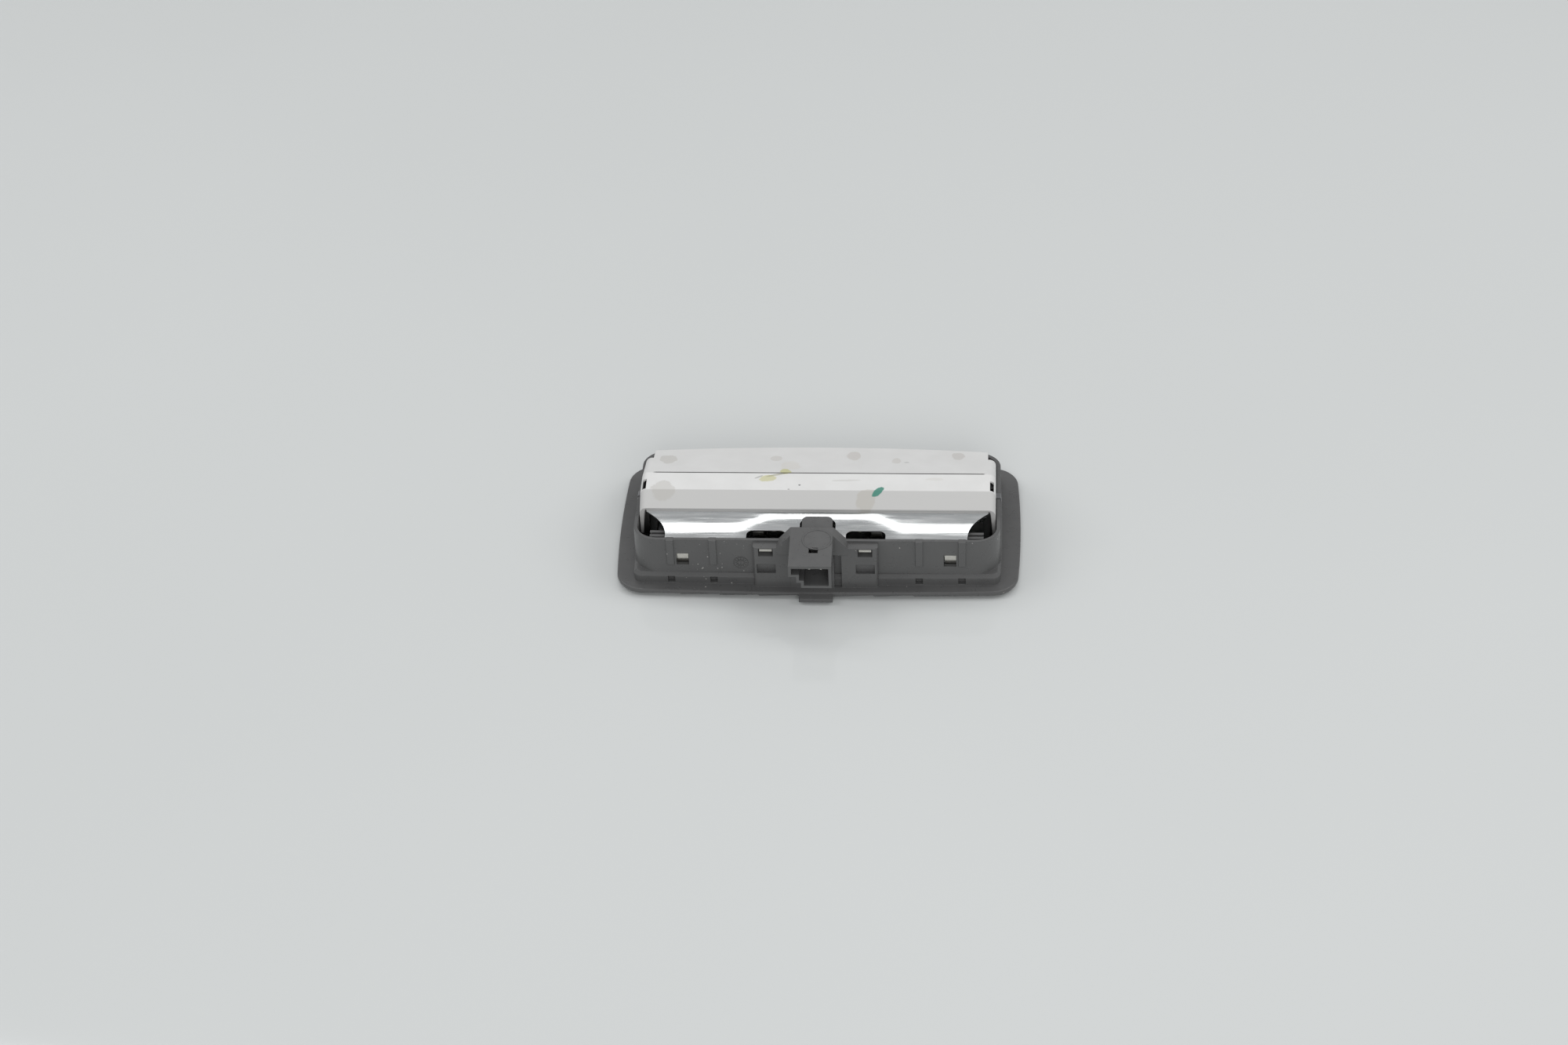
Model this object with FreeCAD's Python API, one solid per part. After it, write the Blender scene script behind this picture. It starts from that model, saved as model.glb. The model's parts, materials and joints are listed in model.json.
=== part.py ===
"""Car interior light, seen from its back: bezel housing, lens, reflector, bulbs and contacts.

Millimetres. The light lies on the face of its lens: +Z points from the lens to the back,
-Y is the side of the connector, and the origin is the middle of the lens face.
"""
import os

import FreeCAD
import Part

V = FreeCAD.Vector
tiny = 1e-6

# Flange, the border that covers the edge of the roof lining
flange_length = 153.0
flange_depth = 74.4
flange_bow = 1.6
flange_corner = 10.0
flange_front_z = 0.6
flange_back_z = 3.2
flange_front_round = 1.6
flange_back_round = 0.5

# Pry tab in the middle of the connector side
tab_width = 12.6
tab_reach = 2.8
tab_thickness = 1.8

# Plinth and walls that stand on the flange
plinth_length = 138.8
plinth_front = 32.5
plinth_back = 30.6
plinth_bow = 0.6
plinth_corner = 3.0
plinth_top_z = 7.7
plinth_chamfer = 1.2
wall_length = 138.0
wall_front = 30.9
wall_back = 29.0
wall_corner = 9.5
wall_thickness = 1.8
wall_draft = 0.4
wall_front_z = 23.4
wall_back_z = 17.0

# Lens and the ledge that it seats on
lens_length = 128.0
lens_depth = 47.0
lens_corner = 7.0
lens_thickness = 2.4
lens_clearance = 0.2
lens_edge_round = 0.5
ledge_width = 1.6
ledge_thickness = 1.6
lens_rib_pitch = 6.0
lens_rib_height = 0.6
hook_width = 6.0
end_hook_y = 8.0
hook_thickness = 1.4
hook_nose = 1.0
hook_clearance = 0.15

# Connector socket
socket_middle_x = -1.1
socket_width = 15.9
socket_height = 10.5
socket_top_z = 28.8
socket_front_y = -51.1
socket_wall = 1.1
socket_depth = 17.2
key_step_x = (2.9, 4.6)
key_step_z = (5.3, 2.5)
latch_hole_width = 3.4
latch_hole_length = 3.0
latch_hole_setback = 7.6
latch_hole_offset_x = 1.0
ring_diameter = 11.4
ring_width = 0.6
ring_height = 0.2
ring_setback = 15.0
ring_offset_x = 2.2
gusset_reach = 5.4
gusset_front = 34.0
gusset_thickness = 3.2
hood_width = 11.4
hood_reach = 9.0
hood_wall = 1.3
hood_cheek = 4.6
hood_clearance = 0.4
hood_corner = 2.2

# Boxes beside the socket that hold the inner contacts
box_inner_x = 9.6
box_outer_x = 23.3
box_front = 33.9
box_top_z = 22.4
box_round = 1.5
pocket_width = 7.0
pocket_height = 4.4
pocket_low_z = 10.0
pocket_depth = 1.6

# Ribs and windows on the connector side
rib_x = (38.5, 54.5)
rib_width = 2.7
rib_height = 0.8
rib_low_z = 11.5
rib_notch_depth = 0.6
rib_notch_border = 0.4
window_outer_width = 4.6
window_outer_z = (11.2, 16.6)
window_inner_width = 5.4
window_inner_z = (18.4, 22.0)

# Posts and ribs inside the walls
post_width = 6.0
post_depth = 7.0
post_top_z = 20.6
post_groove = 1.0
post_groove_pitch = 2.4
seat_rib_width = 1.6
seat_rib_depth = 2.4
seat_z = 13.5
seat_back_x = (14.0, 34.0)
seat_end_y = (-4.0, 12.0)

# Reflector, a white sheet trough, and the bright strip along its front
sheet = 0.8
reflector_clearance = 0.3
reflector_back_z = 20.7
reflector_ridge_y = 0.4
reflector_top_z = 30.0
reflector_shoulder_y = -9.2
reflector_lip_y = -15.4
reflector_lip_z = 25.7
reflector_end_round = 2.6
reflector_bow = 4.4
groove_length = 125.0
groove_width = 0.6
groove_depth = 0.5
notch_length = 3.0
notch_depth = 11.6
slot_length = 5.6
slot_width = 1.4
slot_inset = 2.2
slot_y = -6.2
strip_sheet = 0.6
strip_lap = 1.4
strip_gap = 0.1
strip_front_z = 22.6
strip_sag = 1.0
strip_fold_z = 19.6
strip_corner = 9.6
strip_corner_x = 66.0
strip_end_bevel = 3.6
strip_notch_x = (11.2, 26.0)
strip_notch_depth = 5.2
strip_notch_corner = 2.4
strip_middle_width = 13.4
strip_middle_x = 0.5
strip_middle_depth = 10.8

# Festoon bulbs and their contact blades
bulb_middle_x = 34.25
contact_spacing = 31.5
bulb_y = -14.0
bulb_z = 14.0
glass_radius = 5.0
glass_length = 20.0
cap_radius = 4.2
cap_length = 5.4
cap_shoulder = 1.5
tip_radius = 1.6
tip_length = 3.0
tip_end_radius = 1.1
glass_taper = 1.6
blade = 0.5
blade_hole_radius = 2.0
blade_half_height = 4.6
blade_back_reach = 4.4
foot_gap = 0.2
outer_foot = (-2.0, 2.6)
inner_foot = (-3.4, 5.0)
ear_width = 2.2
ear_rise = 1.2
outer_foot_z = 17.0
inner_foot_z = 20.6

# Stamped conductors with the connector's pins
bar = 0.6
bar_width = 1.9
bar_gap = 0.5
pin = 0.64
pin_x = (-1.5, 2.8)
pin_z = 24.3
pin_tip_y = -47.2
pin_blade = 0.8
bar_wall_gap = 0.2

# Values worked out from those above
ledge_z = lens_thickness
shelf_z = ledge_z + ledge_thickness
cavity_front = -(wall_front - wall_thickness)
cavity_back = wall_back - wall_thickness
cavity_half = wall_length / 2 - wall_thickness
reflector_half = cavity_half - reflector_clearance
reflector_back_y = cavity_back - reflector_clearance
strip_half_length = reflector_half - reflector_end_round
bar_low_y = cavity_front + bar_wall_gap
bar_top_z = shelf_z + bar
socket_low_x = socket_middle_x - socket_width / 2
socket_high_x = socket_middle_x + socket_width / 2
socket_low_z = socket_top_z - socket_height
above_z = 2 * reflector_top_z
outer_contact_x = bulb_middle_x + contact_spacing / 2
inner_contact_x = bulb_middle_x - contact_spacing / 2


def block(x0, x1, y0, y1, z0, z1):
    """A box between two corners."""
    return Part.makeBox(x1 - x0, y1 - y0, z1 - z0, V(x0, y0, z0))


def prism(wire, z0, z1):
    """A closed wire in the XY plane, carried from z0 to z1."""
    shape = Part.Face(wire).extrude(V(0, 0, z1 - z0))
    shape.translate(V(0, 0, z0))
    return shape


def along_x(points, x0, x1):
    """A polygon of (y, z) points, carried along X."""
    corners = [V(x0, y, z) for y, z in points]
    face = Part.Face(Part.makePolygon(corners + corners[:1]))
    return face.extrude(V(x1 - x0, 0, 0))


def along_y(points, y0, y1):
    """A polygon of (x, z) points, carried along Y."""
    corners = [V(x, y0, z) for x, z in points]
    face = Part.Face(Part.makePolygon(corners + corners[:1]))
    return face.extrude(V(0, y1 - y0, 0))


def rounded(x0, x1, y0, y1, radius):
    """A rectangle with round corners, as a wire at z = 0."""
    k = radius * (1 - 0.5 ** 0.5)
    edges = [
        Part.LineSegment(V(x0 + radius, y0, 0), V(x1 - radius, y0, 0)),
        Part.Arc(V(x1 - radius, y0, 0), V(x1 - k, y0 + k, 0), V(x1, y0 + radius, 0)),
        Part.LineSegment(V(x1, y0 + radius, 0), V(x1, y1 - radius, 0)),
        Part.Arc(V(x1, y1 - radius, 0), V(x1 - k, y1 - k, 0), V(x1 - radius, y1, 0)),
        Part.LineSegment(V(x1 - radius, y1, 0), V(x0 + radius, y1, 0)),
        Part.Arc(V(x0 + radius, y1, 0), V(x0 + k, y1 - k, 0), V(x0, y1 - radius, 0)),
        Part.LineSegment(V(x0, y1 - radius, 0), V(x0, y0 + radius, 0)),
        Part.Arc(V(x0, y0 + radius, 0), V(x0 + k, y0 + k, 0), V(x0 + radius, y0, 0)),
    ]
    return Part.Wire([edge.toShape() for edge in edges])


def bowed(half_x, front, back, bow):
    """A rectangle whose four sides swell outwards by bow, as a wire at z = 0."""
    x = half_x - bow
    y0 = -(front - bow)
    y1 = back - bow
    middle = (y0 + y1) / 2
    edges = [
        Part.Arc(V(-x, y0, 0), V(0, -front, 0), V(x, y0, 0)),
        Part.Arc(V(x, y0, 0), V(half_x, middle, 0), V(x, y1, 0)),
        Part.Arc(V(x, y1, 0), V(0, back, 0), V(-x, y1, 0)),
        Part.Arc(V(-x, y1, 0), V(-half_x, middle, 0), V(-x, y0, 0)),
    ]
    return Part.Wire([edge.toShape() for edge in edges])


def upright_edges(shape):
    """The straight edges that run along Z."""
    found = []
    for edge in shape.Edges:
        run = edge.Vertexes[-1].Point - edge.Vertexes[0].Point
        if abs(run.z) > tiny and abs(run.x) + abs(run.y) < tiny:
            found.append(edge)
    return found


def edges_at(shape, z):
    """The edges that lie wholly at height z."""
    return [e for e in shape.Edges if abs(e.BoundBox.ZMin - z) < tiny and abs(e.BoundBox.ZMax - z) < tiny]


def both_sides(shape):
    """A shape and its mirror image across the middle plane."""
    return [shape, shape.mirror(V(0, 0, 0), V(1, 0, 0))]


def flange():
    plate = prism(bowed(flange_length / 2, flange_depth / 2, flange_depth / 2, flange_bow),
                  flange_front_z, flange_back_z)
    plate = plate.makeFillet(flange_corner, upright_edges(plate))
    plate = plate.makeFillet(flange_front_round, edges_at(plate, flange_front_z))
    plate = plate.makeFillet(flange_back_round, edges_at(plate, flange_back_z))
    front = flange_depth / 2
    tab_low = flange_front_z + (flange_back_z - flange_front_z - tab_thickness) / 2
    tab = block(-tab_width / 2, tab_width / 2, -front - tab_reach, -front + flange_front_round,
                tab_low, tab_low + tab_thickness)
    return plate.fuse(tab)


def walls():
    plinth = prism(bowed(plinth_length / 2, plinth_front, plinth_back, plinth_bow), flange_front_z,
                   plinth_top_z)
    plinth = plinth.makeFillet(plinth_corner, upright_edges(plinth))
    plinth = plinth.makeChamfer(plinth_chamfer, edges_at(plinth, plinth_top_z))
    half = wall_length / 2
    low = rounded(-half, half, -wall_front, wall_back, wall_corner)
    low.translate(V(0, 0, flange_back_z))
    high = rounded(-half + wall_draft, half - wall_draft, -wall_front + wall_draft, wall_back - wall_draft,
                   wall_corner)
    high.translate(V(0, 0, wall_front_z))
    upper = Part.makeLoft([low, high], True, True)
    over = along_x([(-wall_front, wall_front_z), (wall_back, wall_back_z), (wall_back, above_z),
                    (-wall_front, above_z)], -half, half)
    return plinth.fuse(upper.cut(over))


def socket_profile(inset):
    """The socket's outline with its two key steps, moved inwards by inset."""
    x0 = socket_low_x + inset
    x1 = socket_high_x - inset
    z0 = socket_low_z + inset
    z1 = socket_top_z - inset
    first_x = socket_low_x + key_step_x[0] + inset
    second_x = socket_low_x + key_step_x[1] + inset
    first_z = socket_low_z + key_step_z[0] + inset
    second_z = socket_low_z + key_step_z[1] + inset
    return [(x0, z1), (x0, first_z), (first_x, first_z), (first_x, second_z), (second_x, second_z),
            (second_x, z0), (x1, z0), (x1, z1)]


def socket():
    """The connector's shroud, its gussets and the ring moulded on its top."""
    shroud = along_y(socket_profile(0), socket_front_y, cavity_front)
    root = block(-box_inner_x, socket_high_x, -gusset_front, cavity_front, flange_back_z, box_top_z)
    gusset_low_z = box_top_z - gusset_thickness
    gusset_low_x = socket_low_x - gusset_reach
    gusset_high_x = socket_high_x + gusset_reach
    gusset = along_y([(socket_low_x, socket_top_z), (gusset_low_x, box_top_z), (gusset_low_x, gusset_low_z),
                      (gusset_high_x, gusset_low_z), (gusset_high_x, box_top_z), (socket_high_x, socket_top_z)],
                     -gusset_front, cavity_front)
    ring_x = socket_middle_x + ring_offset_x
    ring_y = socket_front_y + ring_setback
    ring_place = V(ring_x, ring_y, socket_top_z)
    ring = Part.makeCylinder(ring_diameter / 2, ring_height, ring_place)
    ring = ring.cut(Part.makeCylinder(ring_diameter / 2 - ring_width, ring_height, ring_place))
    return shroud.fuse([root, gusset, ring])


def hood():
    """The cover behind the socket, over the bends of the pins."""
    low_z = pin_z + pin / 2 + hood_clearance
    x0 = strip_middle_x - hood_width / 2
    x1 = strip_middle_x + hood_width / 2
    back_y = cavity_front + hood_reach
    cover = block(x0, x1, cavity_front, back_y, low_z - hood_cheek, low_z + hood_wall)
    corners = [e for e in upright_edges(cover) if e.Vertexes[0].Y > back_y - tiny]
    cover = cover.makeFillet(hood_corner, corners)
    under = block(x0 + hood_wall, x1 - hood_wall, cavity_front, back_y, low_z - hood_cheek, low_z)
    return cover.cut(under)


def socket_cuts():
    hollow = along_y(socket_profile(socket_wall), socket_front_y, socket_front_y + socket_depth)
    hole_y = socket_front_y + latch_hole_setback
    hole_x = socket_middle_x + latch_hole_offset_x
    latch = block(hole_x - latch_hole_width / 2, hole_x + latch_hole_width / 2, hole_y,
                  hole_y + latch_hole_length, socket_top_z - socket_wall, socket_top_z)
    pins = [block(x - pin / 2, x + pin / 2, pin_tip_y, cavity_front, pin_z - pin / 2, pin_z + pin / 2)
            for x in pin_x]
    return [hollow, latch] + pins


def contact_boxes():
    """The two boxes beside the socket, each with a round outer corner."""
    box = block(box_inner_x, box_outer_x, -box_front, cavity_front, flange_back_z, box_top_z)
    corner = [e for e in upright_edges(box)
              if e.Vertexes[0].X > box_outer_x - tiny and e.Vertexes[0].Y < -box_front + tiny]
    return both_sides(box.makeFillet(box_round, corner))


def side_ribs():
    ribs = []
    for x in rib_x:
        rib = block(x - rib_width / 2, x + rib_width / 2, -wall_front - rib_height + wall_draft, cavity_front,
                    rib_low_z, wall_front_z)
        ribs += both_sides(rib)
    return ribs


def wall_cuts():
    """Windows, pockets and moulding notches on the connector side."""
    cuts = []
    front = -flange_depth / 2
    cuts.append(block(outer_contact_x - window_outer_width / 2, outer_contact_x + window_outer_width / 2,
                      front, cavity_front, window_outer_z[0], window_outer_z[1]))
    cuts.append(block(inner_contact_x - window_inner_width / 2, inner_contact_x + window_inner_width / 2,
                      front, cavity_front, window_inner_z[0], window_inner_z[1]))
    cuts.append(block(inner_contact_x - pocket_width / 2, inner_contact_x + pocket_width / 2,
                      front, -box_front + pocket_depth, pocket_low_z, pocket_low_z + pocket_height))
    for x in rib_x:
        cuts.append(block(x - rib_width / 2, x + rib_width / 2, front, -wall_front + rib_notch_depth,
                          flange_back_z + rib_notch_border, plinth_top_z - plinth_chamfer))
    return [side for cut in cuts for side in both_sides(cut)]


def inner_supports():
    """Corner posts, and the ribs that the reflector's edges stand on."""
    parts = []
    post_x = cavity_half - wall_corner / 2
    post = block(post_x - post_width, post_x, cavity_front, cavity_front + post_depth, shelf_z, post_top_z)
    for step in (1, 2):
        groove_y = cavity_front + step * post_groove_pitch
        post = post.cut(block(post_x - post_width, post_x, groove_y, groove_y + post_groove,
                              post_top_z - post_groove, post_top_z))
    parts += both_sides(post)
    for x in seat_back_x:
        rib = block(x - seat_rib_width / 2, x + seat_rib_width / 2, cavity_back - seat_rib_depth, cavity_back,
                    shelf_z, seat_z)
        parts += both_sides(rib)
    for y in seat_end_y:
        rib = block(cavity_half - seat_rib_depth, cavity_half, y - seat_rib_width / 2, y + seat_rib_width / 2,
                    shelf_z, seat_z)
        parts += both_sides(rib)
    return parts


def housing():
    """The moulded bezel and walls, in one piece with the connector socket."""
    body = flange().fuse([walls(), socket()] + contact_boxes() + side_ribs())
    inner_corner = wall_corner - wall_thickness
    cavity = prism(rounded(-cavity_half, cavity_half, cavity_front, cavity_back, inner_corner),
                   shelf_z, above_z)
    half_x = lens_length / 2
    half_y = lens_depth / 2
    seat_x = half_x + lens_clearance
    seat_y = half_y + lens_clearance
    pocket = prism(rounded(-seat_x, seat_x, -seat_y, seat_y, lens_corner + lens_clearance), 0, ledge_z)
    inner_x = half_x - ledge_width
    inner_y = half_y - ledge_width
    aperture = prism(rounded(-inner_x, inner_x, -inner_y, inner_y, lens_corner - ledge_width),
                     ledge_z, shelf_z)
    body = body.cut([cavity, pocket, aperture] + wall_cuts() + socket_cuts())
    return body.fuse(inner_supports() + [hood()]).removeSplitter()


def lens():
    """The clear cover: a flat pane with optic ribs inside and hooks that catch on the ledge."""
    half_x = lens_length / 2
    half_y = lens_depth / 2
    pane = prism(rounded(-half_x, half_x, -half_y, half_y, lens_corner), 0, lens_thickness)
    pane = pane.makeFillet(lens_edge_round, edges_at(pane, 0))
    edge_y = half_y - ledge_width - hook_clearance
    nose_z = shelf_z + hook_clearance
    hook = along_x([(edge_y - hook_thickness, lens_thickness), (edge_y, lens_thickness), (edge_y, nose_z),
                    (edge_y + hook_nose, nose_z), (edge_y, nose_z + hook_nose + hook_thickness),
                    (edge_y - hook_thickness, nose_z + hook_nose + hook_thickness)],
                   -hook_width / 2, hook_width / 2)
    parts = []
    for x in (-half_x / 2, 0, half_x / 2):
        back_hook = hook.copy()
        back_hook.translate(V(x, 0, 0))
        parts.append(back_hook)
    edge_x = half_x - ledge_width - hook_clearance
    end_hook = along_y([(edge_x - hook_thickness, lens_thickness), (edge_x, lens_thickness), (edge_x, nose_z),
                        (edge_x + hook_nose, nose_z), (edge_x, nose_z + hook_nose + hook_thickness),
                        (edge_x - hook_thickness, nose_z + hook_nose + hook_thickness)],
                       end_hook_y - hook_width / 2, end_hook_y + hook_width / 2)
    parts += both_sides(end_hook)
    rib_half = half_y - ledge_width - hook_thickness - 2 * hook_clearance
    count = int((half_x - ledge_width - lens_corner) / lens_rib_pitch)
    w = lens_rib_pitch / 2
    for n in range(-count, count + 1):
        x = n * lens_rib_pitch
        parts.append(along_y([(x - w, lens_thickness), (x + w, lens_thickness),
                              (x, lens_thickness + lens_rib_height)], -rib_half, rib_half))
    return pane.fuse(parts).removeSplitter()


def trough(inset):
    """The reflector's outer form, or with an inset the space inside it, which is open at the front."""
    half = reflector_half - inset
    back = reflector_back_y - inset
    front = reflector_lip_y - inset
    low = seat_z - inset
    points = [(back, low), (back, reflector_back_z - inset), (reflector_ridge_y, reflector_top_z - inset),
              (reflector_shoulder_y, reflector_top_z - inset), (reflector_lip_y, reflector_lip_z - inset),
              (front, low)]
    solid = along_x(points, -half, half)
    round_edges = []
    for edge in solid.Edges:
        box = edge.BoundBox
        on_end = abs(abs(box.XMin) - half) < tiny and box.XLength < tiny
        if on_end and box.ZMax > low + tiny and box.YLength > tiny:
            round_edges.append(edge)
    solid = solid.makeFillet(reflector_end_round - inset, round_edges)
    end_y = back - reflector_bow
    plan = [Part.Arc(V(half, end_y, 0), V(0, back, 0), V(-half, end_y, 0)).toShape()]
    sides = [V(-half, end_y, 0), V(-half, front, 0), V(half, front, 0), V(half, end_y, 0)]
    plan += Part.makePolygon(sides).Edges
    return solid.common(prism(Part.Wire(plan), 0, above_z))


def reflector():
    """The white sheet trough with its pressed groove, corner notches and end slots."""
    shell = trough(0).cut(trough(sheet))
    corner = wall_corner - wall_thickness - reflector_clearance
    front_y = cavity_front + reflector_clearance
    room = prism(rounded(-reflector_half, reflector_half, front_y, reflector_back_y, corner), 0, above_z)
    shell = shell.common(room)
    groove = block(-groove_length / 2, groove_length / 2, reflector_ridge_y, reflector_ridge_y + groove_width,
                   reflector_top_z - groove_depth, above_z)
    cuts = [groove]
    notch = block(reflector_half - notch_length, reflector_half,
                  reflector_back_y - notch_depth, reflector_back_y, 0, above_z)
    cuts += both_sides(notch)
    slot_x = reflector_half - slot_inset
    slot = block(slot_x, slot_x + slot_width, slot_y - slot_length / 2, slot_y + slot_length / 2,
                 seat_z, above_z)
    cuts += both_sides(slot)
    return shell.cut(cuts).removeSplitter()


def strip():
    """The bright strip from the reflector's front lip to the connector side's wall."""
    back_y = reflector_lip_y + strip_lap
    back_z = reflector_lip_z - sheet - strip_gap
    front_y = cavity_front + strip_gap
    middle_y = (back_y + front_y) / 2
    middle_z = (back_z + strip_front_z) / 2 - strip_sag
    x0 = -strip_half_length
    t = strip_sheet
    upper = Part.Arc(V(x0, back_y, back_z), V(x0, middle_y, middle_z), V(x0, front_y, strip_front_z))
    lower = Part.Arc(V(x0, front_y + t, strip_front_z - t), V(x0, middle_y, middle_z - t),
                     V(x0, back_y, back_z - t))
    outline = [V(x0, front_y, strip_front_z), V(x0, front_y, strip_fold_z), V(x0, front_y + t, strip_fold_z),
               V(x0, front_y + t, strip_front_z - t)]
    edges = [upper.toShape(), Part.makePolygon(outline), lower.toShape(),
             Part.makeLine(V(x0, back_y, back_z - t), V(x0, back_y, back_z))]
    pieces = []
    for item in edges:
        pieces += item.Edges
    body = Part.Face(Part.Wire(pieces)).extrude(V(2 * strip_half_length, 0, 0))
    cuts = []
    corner = Part.makeCylinder(strip_corner, above_z, V(strip_corner_x, cavity_front + strip_gap, 0))
    outside = block(strip_corner_x, reflector_half, cavity_front, cavity_front + strip_corner, 0, above_z)
    cuts += both_sides(corner.fuse(outside))
    top_y = cavity_front + strip_corner
    bevel = Part.makePolygon([V(strip_half_length, reflector_lip_y, 0), V(strip_half_length, top_y, 0),
                              V(strip_half_length - strip_end_bevel, top_y, 0),
                              V(strip_half_length, reflector_lip_y, 0)])
    cuts += both_sides(prism(bevel, 0, above_z))
    notch = prism(rounded(strip_notch_x[0], strip_notch_x[1], cavity_front - strip_notch_depth,
                          cavity_front + strip_notch_depth, strip_notch_corner), 0, above_z)
    cuts += both_sides(notch)
    half = strip_middle_width / 2
    cuts.append(prism(rounded(strip_middle_x - half, strip_middle_x + half, cavity_front - strip_middle_depth,
                              cavity_front + strip_middle_depth, strip_notch_corner), 0, above_z))
    return body.cut(cuts)


def bulb_axis_piece(profile, x, turn):
    """A profile of (distance along the axis, radius), turned about the bulb's axis at x."""
    points = [V(d, 0, r) for d, r in profile]
    points = [V(profile[0][0], 0, 0)] + points + [V(profile[-1][0], 0, 0)]
    face = Part.Face(Part.makePolygon(points + points[:1]))
    solid = face.revolve(V(0, 0, 0), V(1, 0, 0), 360)
    if turn < 0:
        solid = solid.mirror(V(0, 0, 0), V(1, 0, 0))
    solid.translate(V(x, bulb_y, bulb_z))
    return solid


def bulb_glass(x):
    half = glass_length / 2
    return bulb_axis_piece([(-half, cap_radius), (-half + glass_taper, glass_radius),
                            (half - glass_taper, glass_radius), (half, cap_radius)], x, 1)


def bulb_cap(x, turn):
    start = glass_length / 2
    end = start + cap_length
    return bulb_axis_piece([(start, cap_radius), (end - cap_shoulder, cap_radius), (end, tip_radius),
                            (end + tip_length, tip_end_radius)], x, turn)


def contact(x, seat_y, outward, foot_span, foot_top_z):
    """A spring blade with the hole that holds a bulb's tip, and a foot with two ears along the wall."""
    x0 = x - blade / 2
    low_z = bulb_z - blade_half_height
    top_z = bulb_z + blade_half_height
    foot_y = cavity_front + foot_gap
    rise = block(x0, x0 + blade, seat_y, seat_y + bar_width, bar_top_z, top_z)
    plate = block(x0, x0 + blade, foot_y, bulb_y + blade_back_reach, low_z, top_z)
    hole = Part.makeCylinder(blade_hole_radius, blade, V(x0, bulb_y, bulb_z), V(1, 0, 0))
    ends = sorted(x + outward * reach for reach in foot_span)
    foot = block(ends[0], ends[1], foot_y, foot_y + blade, low_z, foot_top_z + ear_rise)
    gap = block(ends[0] + ear_width, ends[1] - ear_width, foot_y, foot_y + blade,
                foot_top_z, foot_top_z + ear_rise)
    return rise.fuse([plate.cut(hole), foot.cut(gap)]).removeSplitter()


def conductor(seat_y, half_length, pin_at):
    """A stamped bar on the shelf, with a leg that turns out into the socket as a pin."""
    strip_bar = block(-half_length, half_length, seat_y, seat_y + bar_width, shelf_z, bar_top_z)
    leg_y = seat_y + (bar_width - pin_blade) / 2
    leg = block(pin_at - pin / 2, pin_at + pin / 2, leg_y, leg_y + pin_blade, bar_top_z, pin_z + pin / 2)
    blade_pin = block(pin_at - pin / 2, pin_at + pin / 2, pin_tip_y, leg_y + pin_blade, pin_z - pin / 2,
                      pin_z + pin / 2)
    return strip_bar.fuse([leg, blade_pin]).removeSplitter()


def build():
    live_y = bar_low_y
    ground_y = bar_low_y + bar_width + bar_gap
    nodes = {
        "housing": housing(),
        "lens": lens(),
        "reflector": reflector(),
        "reflector_strip": strip(),
        "live_conductor": conductor(live_y, inner_contact_x + bar_width, pin_x[0]),
        "ground_conductor": conductor(ground_y, outer_contact_x + bar_width, pin_x[1]),
    }
    for side, sign in (("left", -1), ("right", 1)):
        x = sign * bulb_middle_x
        nodes[side + "_bulb_glass"] = bulb_glass(x)
        nodes[side + "_bulb_outer_cap"] = bulb_cap(x, sign)
        nodes[side + "_bulb_inner_cap"] = bulb_cap(x, -sign)
        nodes[side + "_outer_contact"] = contact(sign * outer_contact_x, ground_y, sign,
                                                 outer_foot, outer_foot_z)
        nodes[side + "_inner_contact"] = contact(sign * inner_contact_x, live_y, sign,
                                                 inner_foot, inner_foot_z)
    return nodes


def main():
    os.makedirs("parts", exist_ok=True)
    for name, shape in build().items():
        box = shape.BoundBox
        print(name, "valid", shape.isValid(), "solids", len(shape.Solids), "volume", round(shape.Volume, 1),
              "x", round(box.XMin, 2), round(box.XMax, 2), "y", round(box.YMin, 2), round(box.YMax, 2),
              "z", round(box.ZMin, 2), round(box.ZMax, 2))
        shape.exportStep("parts/" + name + ".step")


main()
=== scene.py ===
"""Looks of the car interior light: its finishes, stains, small trim, floor, light and camera."""
import json
import math

import bmesh
import bpy
from mathutils import Matrix, Vector


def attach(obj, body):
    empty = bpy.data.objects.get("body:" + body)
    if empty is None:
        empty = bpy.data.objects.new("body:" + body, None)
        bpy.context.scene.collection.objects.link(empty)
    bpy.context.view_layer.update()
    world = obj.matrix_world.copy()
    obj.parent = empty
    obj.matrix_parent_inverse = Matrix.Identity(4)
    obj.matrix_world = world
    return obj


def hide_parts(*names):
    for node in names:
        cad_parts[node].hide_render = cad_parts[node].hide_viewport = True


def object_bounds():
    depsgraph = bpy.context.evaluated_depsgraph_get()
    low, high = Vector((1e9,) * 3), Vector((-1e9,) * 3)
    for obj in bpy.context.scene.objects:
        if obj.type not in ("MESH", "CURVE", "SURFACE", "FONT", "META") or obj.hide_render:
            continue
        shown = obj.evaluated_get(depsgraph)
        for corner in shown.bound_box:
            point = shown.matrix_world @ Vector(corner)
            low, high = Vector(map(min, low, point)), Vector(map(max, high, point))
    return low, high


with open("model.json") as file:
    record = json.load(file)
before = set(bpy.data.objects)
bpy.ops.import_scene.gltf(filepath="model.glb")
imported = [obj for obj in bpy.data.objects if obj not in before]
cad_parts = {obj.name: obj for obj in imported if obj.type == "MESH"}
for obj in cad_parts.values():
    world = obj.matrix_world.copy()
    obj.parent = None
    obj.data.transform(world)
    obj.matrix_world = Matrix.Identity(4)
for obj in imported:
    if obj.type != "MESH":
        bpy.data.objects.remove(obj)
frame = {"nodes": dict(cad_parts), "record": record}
cad_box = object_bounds()
MM = 0.001

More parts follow.
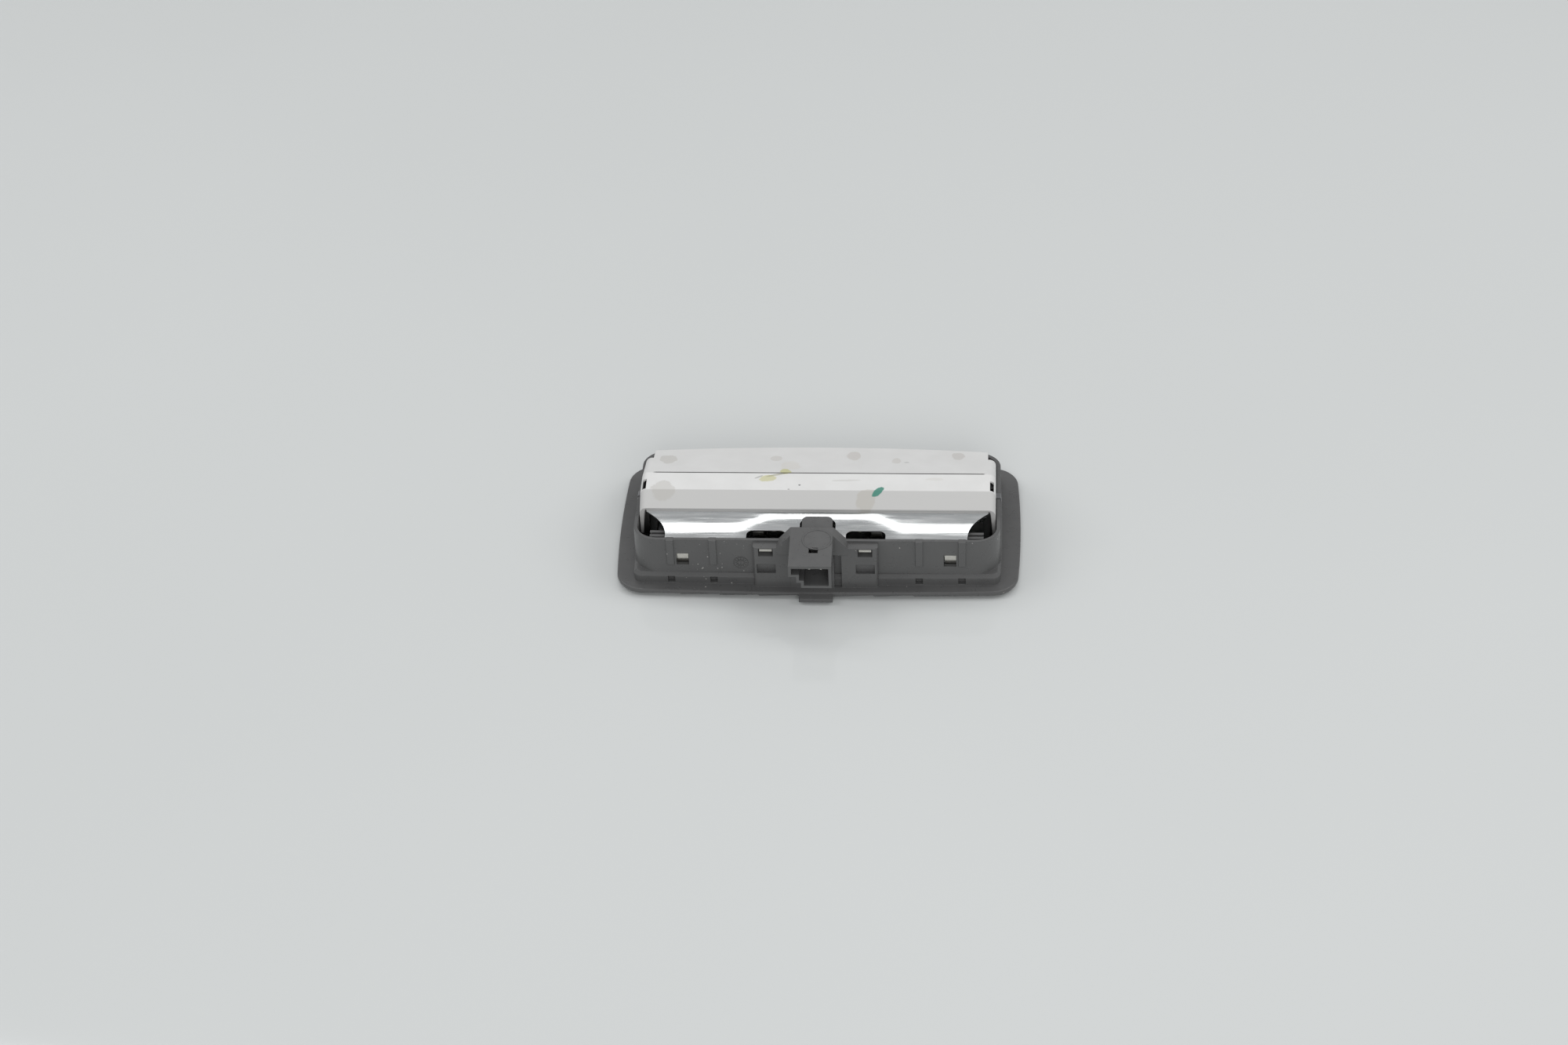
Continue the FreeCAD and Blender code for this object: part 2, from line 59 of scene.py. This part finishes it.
# Camera, fitted to the bezel's outline in the photograph
IMAGE_WIDTH = 2000
FOCAL_PIXELS = 4200.0
SENSOR_MM = 36.0
AZIMUTH = math.radians(4.68)
ELEVATION = math.radians(41.0)
ROLL = math.radians(-2.64)
DISTANCE_MM = 1261.9
OFFSET_MM = (13.99, -4.36)
NEAR_MM = 50.0

# Shared by the finishes. Each noise below is a scale per metre, a detail and a roughness, then any stretch
TONE_STOPS = (0.3, 0.7)
SMEAR_RANGE = (0.3, 0.75)
GRAIN_DEPTH_MM = 0.05
EDGE_SAMPLES = 6
FAR_MM = 1000.0

# Plastic of the housing
PLASTIC_TONE = ((0.096, 0.096, 0.096), (0.112, 0.112, 0.111))
PLASTIC_CLOUD = (60.0, 4.0, 0.6)
PLASTIC_ROUGHNESS = (0.26, 0.38)
PLASTIC_SMEAR = (240.0, 3.0, 0.6)
PLASTIC_GRAIN = (5200.0, 1.0)
PLASTIC_GRAIN_STRENGTH = 0.10
PLASTIC_EDGE_MM = 0.35
DUST_COLOUR = (0.55, 0.54, 0.51)
DUST_CELLS = 520.0
DUST_SPECK = (0.15, 0.09)
DUST_SCATTER = (310.0, 2.0)
DUST_PATCH = ((-42.0, -31.5), (18.0, 9.0))
DUST_PATCH_FADE = (1.0, 0.2)
DUST_SHARE = (0.34, 0.52)

# White paint of the reflector, and its stains from above, in mm: middle, half size, turn, tone, strength
PAINT_TONE = ((0.720, 0.717, 0.706), (0.755, 0.753, 0.743))
PAINT_STOPS = (0.35, 0.7)
PAINT_CLOUD = (90.0, 3.0, 0.55)
PAINT_ROUGHNESS = 0.42
PAINT_GRAIN = (1500.0, 2.0)
PAINT_GRAIN_STRENGTH = 0.08
PAINT_EDGE_MM = 0.3
# Painted shade: from this Y forward, the reflector's front facet, tilted away from the light, is painted
# darker
FRONT_FACET_MM = (-9.1, -9.5)
FRONT_FACET_PAINTED_SHADE_TONE = (0.575, 0.571, 0.560)
STAIN_BORDER = (1.12, 0.92)
STAIN_EDGE = (260.0, 3.0, 0.6)
STAIN_EDGE_RANGE = (0.25, 0.75)
STAIN_WOBBLE = 0.20
STAINS = [
    ((-58.3, -9.0), (4.1, 4.5), 0, (0.46, 0.44, 0.40), 0.38),
    ((-58.0, 14.0), (3.5, 4.0), 0, (0.50, 0.48, 0.44), 0.48),
    ((18.5, -12.4), (4.4, 3.2), 40, (0.46, 0.43, 0.37), 0.42),
    ((12.6, 18.4), (2.5, 4.0), 0, (0.52, 0.48, 0.44), 0.45),
    ((29.0, 13.5), (1.8, 3.0), 0, (0.54, 0.51, 0.47), 0.42),
    ((52.4, 18.8), (2.4, 3.5), 0, (0.50, 0.47, 0.44), 0.48),
    ((-16.9, 15.1), (2.1, 2.6), 0, (0.55, 0.52, 0.48), 0.42),
    ((-11.0, 8.0), (3.4, 4.2), 0, (0.64, 0.60, 0.53), 0.28),
    ((10.5, -3.6), (5.0, 0.5), 2, (0.52, 0.51, 0.48), 0.38),
    ((44.0, -2.6), (3.2, 0.8), 0, (0.62, 0.60, 0.56), 0.35),
    ((-19.0, -2.6), (3.4, 1.9), 10, (0.58, 0.56, 0.31), 0.75),
    ((-12.4, 2.2), (2.0, 2.2), 20, (0.56, 0.55, 0.25), 0.80),
    ((-16.0, -0.6), (4.0, 0.5), 16, (0.34, 0.33, 0.22), 0.60),
    ((-22.4, -1.9), (1.8, 0.4), 30, (0.30, 0.30, 0.27), 0.55),
    ((23.0, -9.4), (2.7, 1.3), 42, (0.060, 0.250, 0.190), 0.95),
    ((-6.8, -6.4), (0.4, 0.4), 0, (0.12, 0.12, 0.12), 0.80),
    ((-10.8, -8.9), (0.5, 0.3), 0, (0.20, 0.19, 0.18), 0.70),
    ((33.0, 12.0), (1.0, 0.35), 0, (0.30, 0.29, 0.28), 0.55),
]
# Painted shade along the groove across the reflector's top: middle, half size and tone, in mm, then how it
# fades
GROOVE_PAINTED_SHADE = ((0.2, 0.72), (62.8, 0.42), (0.075, 0.072, 0.068))
GROOVE_END_FADE = (1.0, 0.98)
GROOVE_SIDE_FADE = (1.0, 0.7)

# Bright strip: its shading slopes another way behind the socket, and its ends are drawn in along a curve
STRIP_TONE = ((0.70, 0.72, 0.72), (0.89, 0.90, 0.90))
STRIP_STOPS = (0.35, 0.6)
STRIP_SMEAR = (420.0, 4.0, 0.65, (0.12, 1.0, 1.0))
STRIP_ROUGHNESS = (0.12, 0.30)
STRIP_STREAK = (900.0, 3.0, 0.6, (0.05, 1.0, 1.0))
STRIP_DENTS = (110.0, 2.0)
STRIP_BEND_X_MM = 0.5
STRIP_BEND_MM = (10.0, 32.0)
STRIP_BEND_SLOPE = (0.11, -0.14)
STRIP_DENT_MM = 0.014
STRIP_END_X_MM = (56.4, 64.3)
STRIP_END_Y_MM = (-29.0, -15.4)
STRIP_END_POWER = 3.0
STRIP_LEAST_FACE_MM2 = 0.0001

# Hem that closes the reflector's front lip on the strip
HEM_HALF_LENGTH_MM = 64.2
HEM_Y_MM = (-15.4, -14.9)
HEM_FOOT_Z_MM = (24.22, 24.42)
HEM_TOP_Z_MM = 24.9

# Plated metals and clear plastics
METAL_CLOUD = (700.0, 3.0, 0.6)
METAL_SHADE = 0.85
METAL_ROUGHNESS = 0.22
CONTACT_METAL = (0.70, 0.68, 0.63)
CAP_METAL = (0.74, 0.74, 0.72)
CLIP_STEEL = (0.34, 0.34, 0.35)
CLEAR_TONE = ((0.90, 0.92, 0.92), (0.95, 0.96, 0.96))
CLEAR_CLOUD = (400.0, 2.0)
CLEAR_IOR = 1.49
LENS_ROUGHNESS = 0.12
GLASS_ROUGHNESS = 0.02

# Spring clips on the rims of the end walls
CLIP_X_MM = 67.7
CLIP_Y_MM = (-2.2, 1.0)
CLIP_RIM_Z_MM = 20.1
CLIP_RIM_SLOPE = -0.107
CLIP_HALF_WIDTH_MM = 1.15
CLIP_LEG_MM = 1.7
CLIP_SHEET_MM = 0.25

# Contact tongues in the windows of the boxes beside the socket
TONGUE_X_MM = 18.5
TONGUE_Y_MM = -32.3
TONGUE_Z_MM = (19.4, 21.8)
TONGUE_SEAT_Y_MM = -28.9
TONGUE_HALF_WIDTH_MM = 2.3
TONGUE_BOW_MM = 0.9
TONGUE_SHEET_MM = 0.3
TONGUE_STEPS = 10

# Mould dial on the wall of the connector's side
DIAL_MIDDLE_MM = (-28.2, -30.68, 12.4)
DIAL_RADIUS_MM = 2.7
DIAL_INNER_RADIUS_MM = 1.3
DIAL_WIRE_MM = 0.14
DIAL_TICKS = 12
DIAL_TICK_MM = (1.69, 2.295)
DIAL_HAND_MM = 0.91
DIAL_STEPS_PER_TICK = 4

# Table top
FLOOR_HALF_MM = 4000.0
FLOOR_DROP_MM = 0.2
FLOOR_CLOUD = (3.0, 2.0)
FLOOR_TONE = ((0.645, 0.662, 0.657), (0.660, 0.677, 0.672))
FLOOR_ROUGHNESS = 0.05

# Room, and soft boxes in metres and watts: name, place, size, power, and whether bright surfaces mirror it
SOFT_BOXES = [
    ("back_box", (0.08, 0.60, 1.48), (2.8, 0.40), 8.6, True),
    ("left_box", (-1.2, 0.0, 1.2), (0.8, 0.8), 4.4, False),
    ("right_box", (1.2, 0.0, 1.2), (0.8, 0.8), 4.4, False),
    ("front_box", (0.2, -1.5, 0.85), (1.0, 0.6), 9.0, False),
    ("top_box", (-0.1, -0.3, 1.8), (1.0, 0.6), 1.5, False),
]
ROOM_COLOUR = (0.97, 0.985, 1.0)
ROOM_STRENGTH = 0.40


def add_camera():
    """A camera at the photograph's viewing angle and framing."""
    back = Vector((math.sin(AZIMUTH) * math.cos(ELEVATION), -math.cos(AZIMUTH) * math.cos(ELEVATION),
                   math.sin(ELEVATION)))
    right = Vector((math.cos(AZIMUTH), math.sin(AZIMUTH), 0))
    up = back.cross(right)
    turned_right = right * math.cos(ROLL) + up * math.sin(ROLL)
    turned_up = up * math.cos(ROLL) - right * math.sin(ROLL)
    place = (back * DISTANCE_MM - turned_right * OFFSET_MM[0] - turned_up * OFFSET_MM[1]) * MM
    data = bpy.data.cameras.new("camera")
    data.sensor_width = SENSOR_MM
    data.sensor_fit = "HORIZONTAL"
    data.lens = SENSOR_MM * FOCAL_PIXELS / IMAGE_WIDTH
    data.clip_start = NEAR_MM * MM
    camera = bpy.data.objects.new("camera", data)
    matrix = Matrix((turned_right, turned_up, back)).transposed().to_4x4()
    matrix.translation = place
    camera.matrix_world = matrix
    bpy.context.scene.collection.objects.link(camera)
    bpy.context.scene.camera = camera


class Nodes:
    """A material's node tree, with short calls to add and join nodes."""

    def __init__(self, name):
        self.material = bpy.data.materials.new(name)
        self.material.use_nodes = True
        self.tree = self.material.node_tree
        self.tree.nodes.clear()
        self.shader = self.add("ShaderNodeBsdfPrincipled")
        self.output = self.add("ShaderNodeOutputMaterial")
        self.coords = self.add("ShaderNodeTexCoord")
        self.join(self.shader, "BSDF", self.output, "Surface")

    def add(self, kind, **settings):
        node = self.tree.nodes.new(kind)
        for key, value in settings.items():
            setattr(node, key, value)
        return node

    def join(self, source, output, target, socket):
        self.tree.links.new(source.outputs[output], target.inputs[socket])

    def set(self, **values):
        for key, value in values.items():
            self.shader.inputs[key.replace("_", " ")].default_value = value

    def mapped(self, kind, **settings):
        """Object coordinates moved, turned and scaled."""
        mapping = self.add("ShaderNodeMapping", vector_type=kind)
        for key, value in settings.items():
            mapping.inputs[key].default_value = value
        self.join(self.coords, "Object", mapping, "Vector")
        return mapping

    def noise(self, scale, detail=2.0, roughness=0.5, stretch=(1.0, 1.0, 1.0)):
        noise = self.add("ShaderNodeTexNoise")
        noise.inputs["Scale"].default_value = scale
        noise.inputs["Detail"].default_value = detail
        noise.inputs["Roughness"].default_value = roughness
        self.join(self.mapped("POINT", Scale=stretch), "Vector", noise, "Vector")
        return noise

    def toned(self, cloud, tones, stops=TONE_STOPS):
        """A colour that wanders between two tones with a cloud of noise."""
        ramp = self.add("ShaderNodeValToRGB")
        for element, stop, tone in zip(ramp.color_ramp.elements, stops, tones):
            element.position = stop
            element.color = (*tone, 1)
        self.join(cloud, "Fac", ramp, "Fac")
        return ramp

    def spread(self, source, output, start, end, low=0.0, high=1.0):
        """A value that runs smoothly from low to high between two values of the source."""
        spread = self.add("ShaderNodeMapRange", interpolation_type="SMOOTHSTEP")
        for key, value in zip(("From Min", "From Max", "To Min", "To Max"), (start, end, low, high)):
            spread.inputs[key].default_value = value
        self.join(source, output, spread, "Value")
        return spread

    def math(self, operation, first, first_output, second, second_output):
        node = self.add("ShaderNodeMath", operation=operation)
        self.tree.links.new(first.outputs[first_output], node.inputs[0])
        self.tree.links.new(second.outputs[second_output], node.inputs[1])
        return node

    def reach(self, middle, size, turn=0.0):
        """Distance from a stain's middle, seen from above: 1 on its border."""
        place = (middle[0] * MM, middle[1] * MM, 0)
        scale = (size[0] * MM, size[1] * MM, 1.0)
        mapping = self.mapped("TEXTURE", Location=place, Rotation=(0, 0, math.radians(turn)), Scale=scale)
        length = self.add("ShaderNodeVectorMath", operation="LENGTH")
        self.join(mapping, "Vector", length, 0)
        return length

    def tint(self, base, base_output, mask, mask_output, colour):
        """The base colour with another one laid over it by a mask."""
        mix = self.add("ShaderNodeMixRGB")
        mix.inputs["Color2"].default_value = (*colour, 1)
        self.join(base, base_output, mix, "Color1")
        self.join(mask, mask_output, mix, "Fac")
        return mix

    def bump(self, source, output, strength, distance, normal=None):
        bump = self.add("ShaderNodeBump")
        bump.inputs["Strength"].default_value = strength
        bump.inputs["Distance"].default_value = distance
        self.join(source, output, bump, "Height")
        if normal:
            self.join(normal, "Normal", bump, "Normal")
        self.join(bump, "Normal", self.shader, "Normal")

    def edge(self, radius_mm):
        edge = self.add("ShaderNodeBevel", samples=EDGE_SAMPLES)
        edge.inputs["Radius"].default_value = radius_mm * MM
        return edge


def housing_plastic():
    """Dark grey moulded plastic with a fine grain, a soft sheen and specks of dust."""
    nodes = Nodes("housing_plastic")
    colour = nodes.toned(nodes.noise(*PLASTIC_CLOUD), PLASTIC_TONE)
    cells = nodes.add("ShaderNodeTexVoronoi")
    cells.inputs["Scale"].default_value = DUST_CELLS
    nodes.join(nodes.coords, "Object", cells, "Vector")
    speck = nodes.spread(cells, "Distance", *DUST_SPECK)
    near = nodes.spread(nodes.reach(*DUST_PATCH), "Value", *DUST_PATCH_FADE, *DUST_SHARE)
    patch = nodes.math("GREATER_THAN", near, "Result", nodes.noise(*DUST_SCATTER), "Fac")
    dust = nodes.math("MULTIPLY", speck, "Result", patch, "Value")
    dusty = nodes.tint(colour, "Color", dust, "Value", DUST_COLOUR)
    nodes.join(dusty, "Color", nodes.shader, "Base Color")
    rough = nodes.spread(nodes.noise(*PLASTIC_SMEAR), "Fac", *SMEAR_RANGE, *PLASTIC_ROUGHNESS)
    nodes.join(rough, "Result", nodes.shader, "Roughness")
    edge = nodes.edge(PLASTIC_EDGE_MM)
    nodes.bump(nodes.noise(*PLASTIC_GRAIN), "Fac", PLASTIC_GRAIN_STRENGTH, GRAIN_DEPTH_MM * MM, edge)
    return nodes.material


def reflector_white():
    """White paint on sheet, with the stains, smears and scuffs of use, painted shade on its front facet
    and a painted shade line along its groove.
    """
    nodes = Nodes("reflector_white")
    colour = nodes.toned(nodes.noise(*PAINT_CLOUD), PAINT_TONE, PAINT_STOPS)
    # Painted shade: the paint darkens towards the front facet, standing in for the lesser light it gets
    front = nodes.add("ShaderNodeSeparateXYZ")
    nodes.join(nodes.coords, "Object", front, "Vector")
    shade = nodes.spread(front, "Y", FRONT_FACET_MM[0] * MM, FRONT_FACET_MM[1] * MM)
    colour = nodes.tint(colour, "Color", shade, "Result", FRONT_FACET_PAINTED_SHADE_TONE)
    wobble = nodes.spread(nodes.noise(*STAIN_EDGE), "Fac", *STAIN_EDGE_RANGE, -STAIN_WOBBLE, STAIN_WOBBLE)
    for middle, size, turn, tone, strength in STAINS:
        ragged = nodes.math("ADD", nodes.reach(middle, size, turn), "Value", wobble, "Result")
        mask = nodes.spread(ragged, "Value", *STAIN_BORDER, 0.0, strength)
        colour = nodes.tint(colour, "Color", mask, "Result", tone)
    # Painted shade: a dark line laid along the groove, where shade falls
    middle, size, tone = GROOVE_PAINTED_SHADE
    along = nodes.spread(nodes.reach(middle, (size[0], FAR_MM)), "Value", *GROOVE_END_FADE)
    across = nodes.spread(nodes.reach(middle, (FAR_MM, size[1])), "Value", *GROOVE_SIDE_FADE)
    line = nodes.math("MULTIPLY", along, "Result", across, "Result")
    colour = nodes.tint(colour, "Color", line, "Value", tone)
    nodes.join(colour, "Color", nodes.shader, "Base Color")
    nodes.set(Roughness=PAINT_ROUGHNESS)
    edge = nodes.edge(PAINT_EDGE_MM)
    nodes.bump(nodes.noise(*PAINT_GRAIN), "Fac", PAINT_GRAIN_STRENGTH, GRAIN_DEPTH_MM * MM, edge)
    return nodes.material


def strip_bright():
    """Bright rolled metal with fine lengthwise streaks."""
    nodes = Nodes("strip_bright")
    rough = nodes.spread(nodes.noise(*STRIP_STREAK), "Fac", *SMEAR_RANGE, *STRIP_ROUGHNESS)
    nodes.join(rough, "Result", nodes.shader, "Roughness")
    tone = nodes.toned(nodes.noise(*STRIP_SMEAR), STRIP_TONE, STRIP_STOPS)
    nodes.join(tone, "Color", nodes.shader, "Base Color")
    nodes.set(Metallic=1.0)
    place = nodes.add("ShaderNodeSeparateXYZ")
    nodes.join(nodes.mapped("POINT", Location=(-STRIP_BEND_X_MM * MM, 0, 0)), "Vector", place, "Vector")
    aside = nodes.add("ShaderNodeMath", operation="ABSOLUTE")
    nodes.join(place, "X", aside, 0)
    bent = nodes.spread(aside, "Value", STRIP_BEND_MM[1] * MM, STRIP_BEND_MM[0] * MM, *STRIP_BEND_SLOPE)
    lift = nodes.math("MULTIPLY", place, "Y", bent, "Result")
    dents = nodes.spread(nodes.noise(*STRIP_DENTS), "Fac", 0.0, 1.0, 0.0, STRIP_DENT_MM * MM)
    form = nodes.math("ADD", lift, "Value", dents, "Result")
    nodes.bump(form, "Value", 1.0, 1.0)
    return nodes.material


def plated_metal(name, colour):
    """Bright metal whose tone clouds a little."""
    nodes = Nodes(name)
    shaded = tuple(c * METAL_SHADE for c in colour)
    tone = nodes.toned(nodes.noise(*METAL_CLOUD), (shaded, colour))
    nodes.join(tone, "Color", nodes.shader, "Base Color")
    nodes.set(Metallic=1.0, Roughness=METAL_ROUGHNESS)
    return nodes.material


def clear_plastic(name, roughness):
    """Clear plastic or glass, as rough as it is frosted."""
    nodes = Nodes(name)
    tone = nodes.toned(nodes.noise(*CLEAR_CLOUD), CLEAR_TONE)
    nodes.join(tone, "Color", nodes.shader, "Base Color")
    nodes.set(Roughness=roughness, Transmission_Weight=1.0, IOR=CLEAR_IOR)
    return nodes.material


def make_finishes():
    return {
        "housing_plastic": housing_plastic(),
        "reflector_white": reflector_white(),
        "strip_bright": strip_bright(),
        "lens_clear": clear_plastic("lens_clear", LENS_ROUGHNESS),
        "contact_metal": plated_metal("contact_metal", CONTACT_METAL),
        "cap_metal": plated_metal("cap_metal", CAP_METAL),
        "bulb_glass": clear_plastic("bulb_glass", GLASS_ROUGHNESS),
        "clip_steel": plated_metal("clip_steel", CLIP_STEEL),
    }


def dress(finishes):
    for part in frame["record"]["subparts"]:
        slots = frame["nodes"][part["node"]].data.materials
        slots.clear()
        slots.append(finishes[part["material_slot"]])


def add_piece(name, points_mm, faces, material):
    """A small piece of its own, carried by the light."""
    mesh = bpy.data.meshes.new(name)
    mesh.from_pydata([tuple(c * MM for c in point) for point in points_mm], [], faces)
    mesh.validate()
    mesh.materials.append(material)
    piece = bpy.data.objects.new(name, mesh)
    bpy.context.scene.collection.objects.link(piece)
    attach(piece, "root")


def drawn_faces(count):
    """Faces of a solid drawn between two copies of an outline with so many points."""
    faces = [(i, (i + 1) % count, count + (i + 1) % count, count + i) for i in range(count)]
    return faces + [tuple(range(count))[::-1], tuple(range(count, 2 * count))]


def add_tongues(finishes):
    """Bowed tongues of the inner contacts, from their ears to the windows beside the socket."""
    low, high = TONGUE_Z_MM
    middle, half = (low + high) / 2, (high - low) / 2
    turns = [math.pi * (i / TONGUE_STEPS - 0.5) for i in range(TONGUE_STEPS + 1)]
    front_y = [TONGUE_Y_MM - TONGUE_BOW_MM * math.cos(t) for t in turns]
    front = [(y, middle + half * math.sin(t)) for y, t in zip(front_y, turns)]
    inner = half - TONGUE_SHEET_MM
    back = [(y + TONGUE_SHEET_MM, middle + inner * math.sin(t)) for y, t in zip(front_y, turns)]
    outline = front + [(TONGUE_SEAT_Y_MM, high), (TONGUE_SEAT_Y_MM, middle + inner)] + back[::-1]
    for name, side in (("left_tongue", -1), ("right_tongue", 1)):
        ends = (side * TONGUE_X_MM - TONGUE_HALF_WIDTH_MM, side * TONGUE_X_MM + TONGUE_HALF_WIDTH_MM)
        points = [(x, y, z) for x in ends for y, z in outline]
        add_piece(name, points, drawn_faces(len(outline)), finishes["contact_metal"])


def clip_profile():
    """Closed outline of a clip across the rim, outside first and back along the inside."""
    wide, thin, leg = CLIP_HALF_WIDTH_MM, CLIP_SHEET_MM, CLIP_LEG_MM
    flare = wide + thin
    outside = [(-flare, -leg), (-wide, -leg + thin), (-wide, 0), (-wide + thin, thin), (wide - thin, thin),
               (wide, 0), (wide, -leg + thin), (flare, -leg)]
    inside = [(flare - thin, -leg), (wide - thin, -leg + thin), (wide - thin, 0), (thin - wide, 0),
              (thin - wide, -leg + thin), (thin - flare, -leg)]
    return outside + inside


def add_clips(finishes):
    """Spring clips pushed over the rims of the two end walls."""
    profile = clip_profile()
    faces = drawn_faces(len(profile))
    for name, side in (("left_clip", -1), ("right_clip", 1)):
        points = [(side * CLIP_X_MM + x, y, CLIP_RIM_Z_MM + CLIP_RIM_SLOPE * y + z)
                  for y in CLIP_Y_MM for x, z in profile]
        add_piece(name, points, faces, finishes["clip_steel"])


def drop_flat_faces(mesh):
    """Takes out the faces that have closed up."""
    shape = bmesh.new()
    shape.from_mesh(mesh)
    flat = [face for face in shape.faces if face.calc_area() < STRIP_LEAST_FACE_MM2 * MM * MM]
    bmesh.ops.delete(shape, geom=flat, context="FACES")
    shape.to_mesh(mesh)
    shape.free()


def add_strip():
    """The bright strip, its ends drawn in to the curve that the photograph shows."""
    node = frame["nodes"]["reflector_strip"]
    mesh = node.data.copy()
    narrow, wide = (x * MM for x in STRIP_END_X_MM)
    front, back = (y * MM for y in STRIP_END_Y_MM)
    for vertex in mesh.vertices:
        share = max(0.0, min(1.0, (vertex.co.y - front) / (back - front)))
        limit = narrow + (wide - narrow) * share ** STRIP_END_POWER
        vertex.co.x = max(-limit, min(limit, vertex.co.x))
    drop_flat_faces(mesh)
    piece = bpy.data.objects.new("bright_strip", mesh)
    bpy.context.scene.collection.objects.link(piece)
    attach(piece, "root")
    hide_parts("reflector_strip")


def add_hem(finishes):
    """The lip's folded edge, from the reflector's sheet down to the strip."""
    (front, back), (front_foot, back_foot) = HEM_Y_MM, HEM_FOOT_Z_MM
    profile = [(front, front_foot), (front, HEM_TOP_Z_MM), (back, HEM_TOP_Z_MM), (back, back_foot)]
    points = [(x, y, z) for x in (-HEM_HALF_LENGTH_MM, HEM_HALF_LENGTH_MM) for y, z in profile]
    add_piece("lip_hem", points, drawn_faces(len(profile)), finishes["reflector_white"])


def add_bar(points, faces, start, end, radius):
    """Adds a four-sided bar from one point of the wall's face to another."""
    way = (Vector(end) - Vector(start)).normalized()
    out = Vector((0, 1, 0))
    side = way.cross(out)
    base = len(points)
    corners = ((1, 1), (-1, 1), (-1, -1), (1, -1))
    for spot in (Vector(start), Vector(end)):
        points += [tuple(spot + (side * a + out * b) * radius) for a, b in corners]
    faces += [(base + i, base + (i + 1) % 4, base + 4 + (i + 1) % 4, base + 4 + i) for i in range(4)]
    faces += [(base + 3, base + 2, base + 1, base), (base + 4, base + 5, base + 6, base + 7)]


def add_dial(finishes):
    """A plain mould dial: two raised rings with ticks between them and a hand."""
    points, faces = [], []
    middle = Vector(DIAL_MIDDLE_MM)

    def spot(radius, turn):
        return middle + Vector((math.sin(turn), 0, math.cos(turn))) * radius

    segments = DIAL_STEPS_PER_TICK * DIAL_TICKS
    step = 2 * math.pi / segments
    for radius in (DIAL_RADIUS_MM, DIAL_INNER_RADIUS_MM):
        for i in range(segments):
            add_bar(points, faces, spot(radius, i * step), spot(radius, (i + 1) * step), DIAL_WIRE_MM)
    for i in range(DIAL_TICKS):
        turn = DIAL_STEPS_PER_TICK * i * step
        inner, outer = (spot(radius, turn) for radius in DIAL_TICK_MM)
        add_bar(points, faces, inner, outer, DIAL_WIRE_MM)
    add_bar(points, faces, spot(-DIAL_HAND_MM, step), spot(DIAL_HAND_MM, step), DIAL_WIRE_MM)
    add_piece("mould_dial", points, faces, finishes["housing_plastic"])


def add_floor():
    """A pale glossy table top."""
    mesh = bpy.data.meshes.new("floor")
    half = FLOOR_HALF_MM * MM
    floor_z = cad_box[0][2] - FLOOR_DROP_MM * MM
    corners = ((-half, -half), (half, -half), (half, half), (-half, half))
    mesh.from_pydata([(x, y, floor_z) for x, y in corners], [], [(0, 1, 2, 3)])
    floor = bpy.data.objects.new("floor", mesh)
    bpy.context.scene.collection.objects.link(floor)
    nodes = Nodes("table_top")
    tone = nodes.toned(nodes.noise(*FLOOR_CLOUD), FLOOR_TONE)
    nodes.join(tone, "Color", nodes.shader, "Base Color")
    nodes.set(Roughness=FLOOR_ROUGHNESS)
    mesh.materials.append(nodes.material)


def add_light(name, place, size, power, mirrored):
    """A soft box turned to the frame's origin, where the part lies."""
    data = bpy.data.lights.new(name, "AREA")
    data.shape = "RECTANGLE"
    data.size = size[0]
    data.size_y = size[1]
    data.energy = power
    lamp = bpy.data.objects.new(name, data)
    lamp.location = place
    lamp.visible_glossy = mirrored
    lamp.rotation_euler = (-Vector(place)).to_track_quat("-Z", "Y").to_euler()
    bpy.context.scene.collection.objects.link(lamp)


def add_lights():
    """Soft boxes round the table, the one behind mirrored in the bright strip, and a pale room."""
    for box in SOFT_BOXES:
        add_light(*box)
    world = bpy.data.worlds.new("room")
    world.use_nodes = True
    background = world.node_tree.nodes["Background"]
    background.inputs["Color"].default_value = (*ROOM_COLOUR, 1)
    background.inputs["Strength"].default_value = ROOM_STRENGTH
    bpy.context.scene.world = world


finishes = make_finishes()
add_camera()
dress(finishes)
add_strip()
add_hem(finishes)
add_clips(finishes)
add_tongues(finishes)
add_dial(finishes)
add_floor()
add_lights()
bpy.context.scene.view_settings.view_transform = "Standard"
